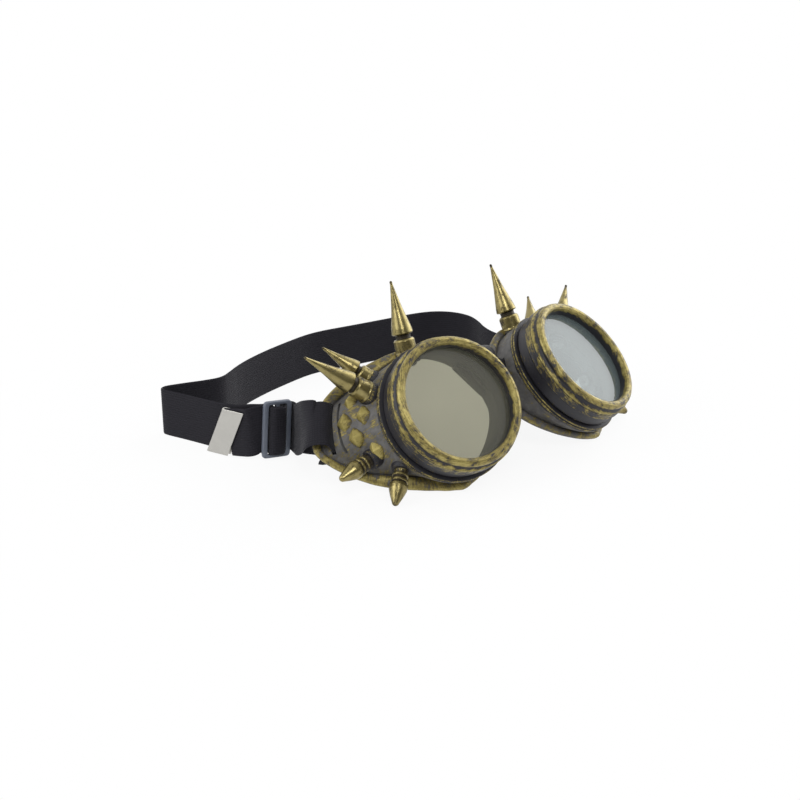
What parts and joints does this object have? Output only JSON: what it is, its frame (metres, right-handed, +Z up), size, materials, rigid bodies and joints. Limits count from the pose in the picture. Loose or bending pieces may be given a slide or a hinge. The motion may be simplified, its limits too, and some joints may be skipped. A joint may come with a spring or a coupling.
{
  "type": "steampunk goggles",
  "caption": "Round-cup spiked goggles with screw-on lens rings, tinted flat lenses, a soft nose bridge and an elastic head strap with a slider and an end clip.",
  "frame": {"origin": "middle of the object's box on the table it lies on, at table height", "axes": "+Z up; -Y the front, towards which the lenses face and lean; -X the side of the wearer's right eye, with the slider and the clip; +Y the back of the head strap"},
  "size_m": [0.173, 0.1602, 0.0736],
  "materials": {
    "bronzed_cup": "black moulding dry-brushed with antique gold",
    "antique_gold": "antique gold with dark streaks, satin",
    "spike_metal": "antique gold over black, satin",
    "screw_steel": "plain",
    "tinted_lens": "light smoke tint, polished",
    "gasket_rubber": "matt",
    "bridge_rubber": "soft satin",
    "black_elastic": "woven ribbed elastic",
    "slider_plastic": "satin dark grey",
    "clip_metal": "satin nickel"
  },
  "bodies": {
    "right_cup": {"right_eyecup": "bronzed_cup", "right_top_spike": "spike_metal", "right_side_spike_front": "spike_metal", "right_side_spike_rear": "spike_metal", "right_cheek_bullet_outer": "spike_metal", "right_cheek_bullet_inner": "spike_metal", "right_spike_screws": "screw_steel", "nose_bridge": "bridge_rubber", "elastic_strap": "black_elastic", "strap_end_clip": "clip_metal"},
    "left_cup": {"left_eyecup": "bronzed_cup", "left_top_spike": "spike_metal", "left_side_spike_front": "spike_metal", "left_side_spike_rear": "spike_metal", "left_cheek_bullet_outer": "spike_metal", "left_cheek_bullet_inner": "spike_metal", "left_spike_screws": "screw_steel"},
    "right_glazing": {"right_lens": "tinted_lens", "right_lens_gasket": "gasket_rubber"},
    "right_ring": {"right_lens_ring": "antique_gold"},
    "left_glazing": {"left_lens": "tinted_lens", "left_lens_gasket": "gasket_rubber"},
    "left_ring": {"left_lens_ring": "antique_gold"},
    "slider": {"strap_slider": "slider_plastic"}
  },
  "joints": [
    {"name": "bridge_fold", "type": "hinge", "parent": "right_cup", "child": "left_cup", "pos_m": [0.0023, -0.03958, 0.0394], "axis": [0, 0.6712, 0.7413], "range_deg": [-30, 8], "deforming": ["nose_bridge", "elastic_strap"]},
    {"name": "right_glazing_travel", "type": "slide", "parent": "right_cup", "child": "right_glazing", "axis": [-0.181, -0.7658, 0.617], "range_m": [0, 0.004]},
    {"name": "right_ring_turn", "type": "hinge", "parent": "right_glazing", "child": "right_ring", "pos_m": [-0.0362, -0.06048, 0.0361], "axis": [-0.181, -0.7658, 0.617], "range_deg": [0, 720]},
    {"name": "left_glazing_travel", "type": "slide", "parent": "left_cup", "child": "left_glazing", "axis": [0.1797, -0.6801, 0.7108], "range_m": [0, 0.004]},
    {"name": "left_ring_turn", "type": "hinge", "parent": "left_glazing", "child": "left_ring", "pos_m": [0.0404, -0.06048, 0.0361], "axis": [0.1797, -0.6801, 0.7108], "range_deg": [0, 720]},
    {"name": "slider_travel", "type": "slide", "parent": "right_cup", "child": "slider", "axis": [-0.9646, 0.2639, 0], "range_m": [-0.004, 0.003], "deforming": ["elastic_strap"]}
  ],
  "couplings": [
    {"joint": "right_glazing_travel", "follows": "right_ring_turn", "m_per_rad": 0.00031829},
    {"joint": "left_glazing_travel", "follows": "left_ring_turn", "m_per_rad": 0.00031829}
  ]
}
